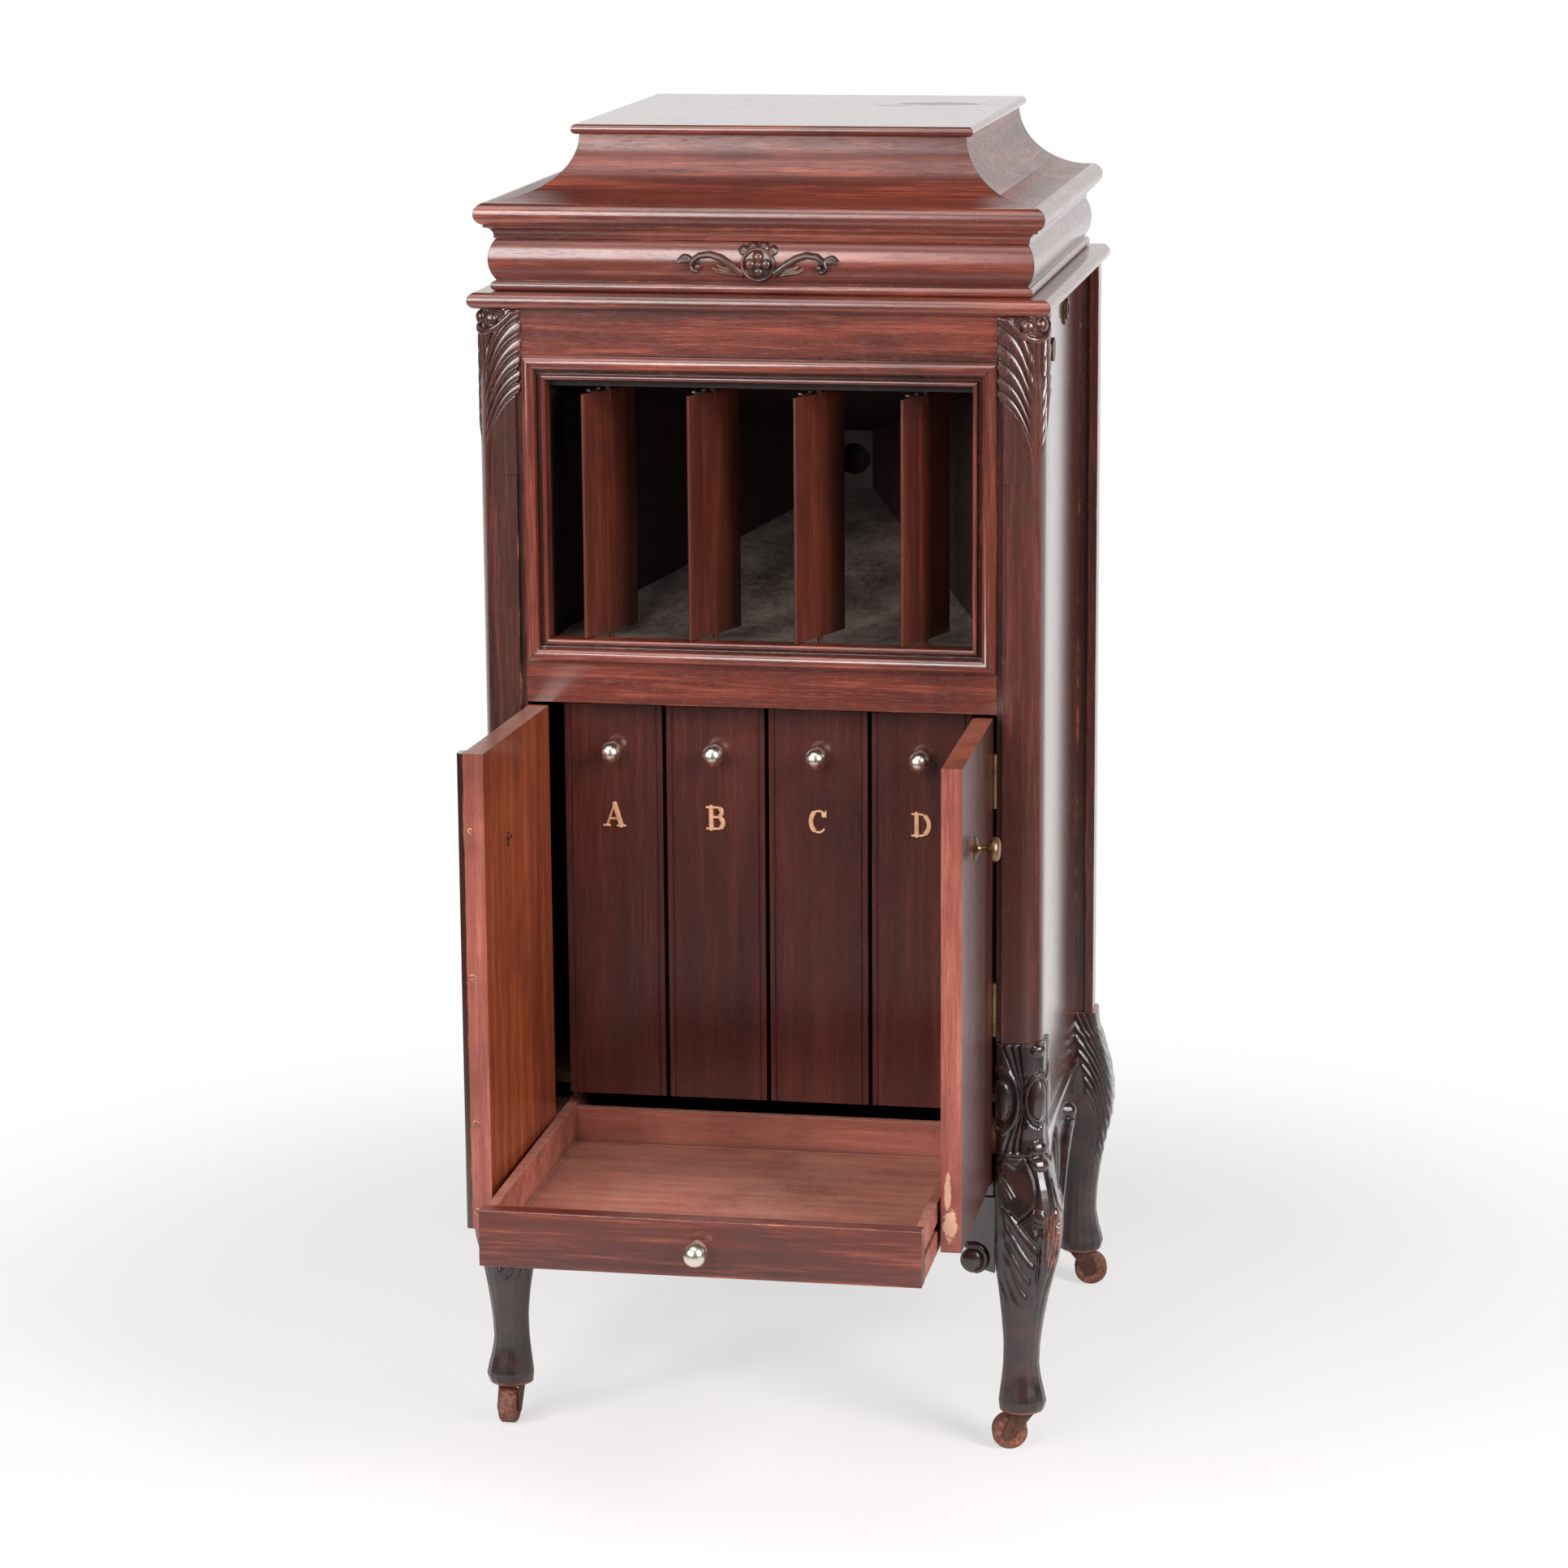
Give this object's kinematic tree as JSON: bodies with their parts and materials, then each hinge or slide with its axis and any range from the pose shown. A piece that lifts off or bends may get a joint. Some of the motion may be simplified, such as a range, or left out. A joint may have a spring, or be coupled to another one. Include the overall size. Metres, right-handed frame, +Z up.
{
  "type": "gramophone cabinet",
  "caption": "Floor-standing gramophone cabinet with a coved lid over its turntable, turning sound louvres before a wooden horn, doors, record bins, a pull-out tray and cabriole legs on casters.",
  "frame": {"origin": "on the floor under the middle of the moulded case top", "axes": "+Z up, -Y out of the front, +X to the right seen from the front"},
  "size_m": [0.5576, 0.8372, 1.2161],
  "materials": {
    "brass": "polished, lightly tarnished",
    "bronze": "dark brown patina, satin",
    "dark_mahogany": "near-black red-brown shellac, glossy, rubbed orange at the edges",
    "door_wood": "orange-brown mahogany, thin satin shellac",
    "felted_steel": "dark green felt over a pressed steel disc",
    "horn_wood": "brown stained wood under grey dust, matt",
    "inner_wood": "plain reddish wood, thin matt finish, dusty",
    "iron": "dark, lightly rusted",
    "mahogany": "red-brown mahogany under old shellac, satin gloss, open pores",
    "nickel": "nickel plate, warm and slightly dull",
    "wheel_wood": "worn turned hardwood, matt"
  },
  "bodies": {
    "cabinet": {"case_top": "mahogany", "motor_rim": "mahogany", "motor_board": "mahogany", "crest_carving": "dark_mahogany", "front_posts": "dark_mahogany", "rear_posts": "dark_mahogany", "front_legs": "dark_mahogany", "rear_legs": "dark_mahogany", "front_rails": "mahogany", "louvre_frame": "mahogany", "side_panels": "mahogany", "back_panel": "inner_wood", "bottom_board": "inner_wood", "aprons": "dark_mahogany", "horn_deck": "inner_wood", "bin_rack": "inner_wood", "horn": "horn_wood", "horn_elbow": "iron", "tray_runners": "inner_wood", "spring_motor": "iron", "crank_escutcheon": "bronze", "hinge_leaves": "brass"},
    "lid": {"lid_top_board": "mahogany", "lid_cove": "mahogany", "lid_rim": "mahogany", "lid_hinge_leaves": "brass"},
    "turntable": {"turntable": "felted_steel"},
    "tonearm": {"tonearm": "nickel"},
    "sound_box": {"sound_box": "nickel"},
    "brake_lever": {"brake_lever": "nickel"},
    "tone_rod": {"tone_rod": "bronze"},
    "louvre_1": {"louvre_1": "mahogany"},
    "louvre_2": {"louvre_2": "mahogany"},
    "louvre_3": {"louvre_3": "mahogany"},
    "louvre_4": {"louvre_4": "mahogany"},
    "left_door": {"left_door": "door_wood", "left_door_strip": "mahogany", "left_door_brasswork": "brass"},
    "right_door": {"right_door": "door_wood", "right_door_knob": "brass", "right_door_hinge_leaves": "brass"},
    "tray": {"tray_front": "mahogany", "tray_box": "inner_wood", "tray_knob": "nickel"},
    "bin_a": {"bin_a": "mahogany", "bin_a_knob": "nickel"},
    "bin_b": {"bin_b": "mahogany", "bin_b_knob": "nickel"},
    "bin_c": {"bin_c": "mahogany", "bin_c_knob": "nickel"},
    "bin_d": {"bin_d": "mahogany", "bin_d_knob": "nickel"},
    "front_left_caster": {"front_left_caster_fork": "iron"},
    "front_left_caster_wheel": {"front_left_caster_wheel": "wheel_wood"},
    "front_right_caster": {"front_right_caster_fork": "iron"},
    "front_right_caster_wheel": {"front_right_caster_wheel": "wheel_wood"},
    "rear_left_caster": {"rear_left_caster_fork": "iron"},
    "rear_left_caster_wheel": {"rear_left_caster_wheel": "wheel_wood"},
    "rear_right_caster": {"rear_right_caster_fork": "iron"},
    "rear_right_caster_wheel": {"rear_right_caster_wheel": "wheel_wood"}
  },
  "joints": [
    {"name": "lid_hinge", "type": "hinge", "parent": "cabinet", "child": "lid", "pos_m": [0, 0.2292, 1.11815], "axis": [-1, 0, 0], "range_deg": [0, 85]},
    {"name": "turntable_spin", "type": "hinge", "parent": "cabinet", "child": "turntable", "pos_m": [0, -0.047, 1.095], "axis": [0, 0, 1], "continuous": true},
    {"name": "tonearm_swing", "type": "hinge", "parent": "cabinet", "child": "tonearm", "pos_m": [0.025, 0.176, 1.095], "axis": [0, 0, 1], "range_deg": [-30, 4]},
    {"name": "sound_box_tilt", "type": "hinge", "parent": "tonearm", "child": "sound_box", "pos_m": [0.13951, 0.02943, 1.138], "axis": [-0.788, -0.6157, 0], "range_deg": [-4, 45]},
    {"name": "brake_swing", "type": "hinge", "parent": "cabinet", "child": "brake_lever", "pos_m": [-0.15, -0.15, 1.086], "axis": [0, 0, 1], "range_deg": [0, 20]},
    {"name": "tone_rod_slide", "type": "slide", "parent": "cabinet", "child": "tone_rod", "axis": [1, 0, 0], "range_m": [0, 0.0224]},
    {"name": "louvre_1_pivot", "type": "hinge", "parent": "cabinet", "child": "louvre_1", "pos_m": [-0.1461, -0.193, 0.87], "axis": [0, 0, 1], "range_deg": [-68.2, 0]},
    {"name": "louvre_2_pivot", "type": "hinge", "parent": "cabinet", "child": "louvre_2", "pos_m": [-0.0487, -0.193, 0.87], "axis": [0, 0, 1], "range_deg": [-68.2, 0]},
    {"name": "louvre_3_pivot", "type": "hinge", "parent": "cabinet", "child": "louvre_3", "pos_m": [0.0487, -0.193, 0.87], "axis": [0, 0, 1], "range_deg": [-68.2, 0]},
    {"name": "louvre_4_pivot", "type": "hinge", "parent": "cabinet", "child": "louvre_4", "pos_m": [0.1461, -0.193, 0.87], "axis": [0, 0, 1], "range_deg": [-68.2, 0]},
    {"name": "left_door_hinge", "type": "hinge", "parent": "cabinet", "child": "left_door", "pos_m": [-0.2158, -0.2383, 0.533], "axis": [0, 0, -1], "range_deg": [0, 30]},
    {"name": "right_door_hinge", "type": "hinge", "parent": "cabinet", "child": "right_door", "pos_m": [0.2158, -0.2383, 0.533], "axis": [0, 0, 1], "range_deg": [0, 30]},
    {"name": "tray_slide", "type": "slide", "parent": "cabinet", "child": "tray", "axis": [0, -1, 0], "range_m": [-0.33, 0]},
    {"name": "bin_a_slide", "type": "slide", "parent": "cabinet", "child": "bin_a", "axis": [0, -1, 0], "range_m": [0, 0.25]},
    {"name": "bin_b_slide", "type": "slide", "parent": "cabinet", "child": "bin_b", "axis": [0, -1, 0], "range_m": [0, 0.25]},
    {"name": "bin_c_slide", "type": "slide", "parent": "cabinet", "child": "bin_c", "axis": [0, -1, 0], "range_m": [0, 0.25]},
    {"name": "bin_d_slide", "type": "slide", "parent": "cabinet", "child": "bin_d", "axis": [0, -1, 0], "range_m": [0, 0.25]},
    {"name": "front_left_caster_swivel", "type": "hinge", "parent": "cabinet", "child": "front_left_caster", "pos_m": [-0.24355, -0.23955, 0.045], "axis": [0, 0, 1], "continuous": true},
    {"name": "front_left_wheel_spin", "type": "hinge", "parent": "front_left_caster", "child": "front_left_caster_wheel", "pos_m": [-0.24355, -0.25055, 0.0165], "axis": [1, 0, 0], "continuous": true},
    {"name": "front_right_caster_swivel", "type": "hinge", "parent": "cabinet", "child": "front_right_caster", "pos_m": [0.24355, -0.23955, 0.045], "axis": [0, 0, 1], "continuous": true},
    {"name": "front_right_wheel_spin", "type": "hinge", "parent": "front_right_caster", "child": "front_right_caster_wheel", "pos_m": [0.23272, -0.24146, 0.0165], "axis": [0.1736, -0.9848, 0], "continuous": true},
    {"name": "rear_left_caster_swivel", "type": "hinge", "parent": "cabinet", "child": "rear_left_caster", "pos_m": [-0.24355, 0.23955, 0.045], "axis": [0, 0, 1], "continuous": true},
    {"name": "rear_left_wheel_spin", "type": "hinge", "parent": "rear_left_caster", "child": "rear_left_caster_wheel", "pos_m": [-0.23402, 0.24505, 0.0165], "axis": [-0.5, 0.866, 0], "continuous": true},
    {"name": "rear_right_caster_swivel", "type": "hinge", "parent": "cabinet", "child": "rear_right_caster", "pos_m": [0.24355, 0.23955, 0.045], "axis": [0, 0, 1], "continuous": true},
    {"name": "rear_right_wheel_spin", "type": "hinge", "parent": "rear_right_caster", "child": "rear_right_caster_wheel", "pos_m": [0.25444, 0.24108, 0.0165], "axis": [-0.1392, 0.9903, 0], "continuous": true}
  ],
  "couplings": [
    {"joint": "louvre_1_pivot", "follows": "tone_rod_slide", "rad_per_m": -53.1},
    {"joint": "louvre_2_pivot", "follows": "tone_rod_slide", "rad_per_m": -53.1},
    {"joint": "louvre_3_pivot", "follows": "tone_rod_slide", "rad_per_m": -53.1},
    {"joint": "louvre_4_pivot", "follows": "tone_rod_slide", "rad_per_m": -53.1}
  ]
}
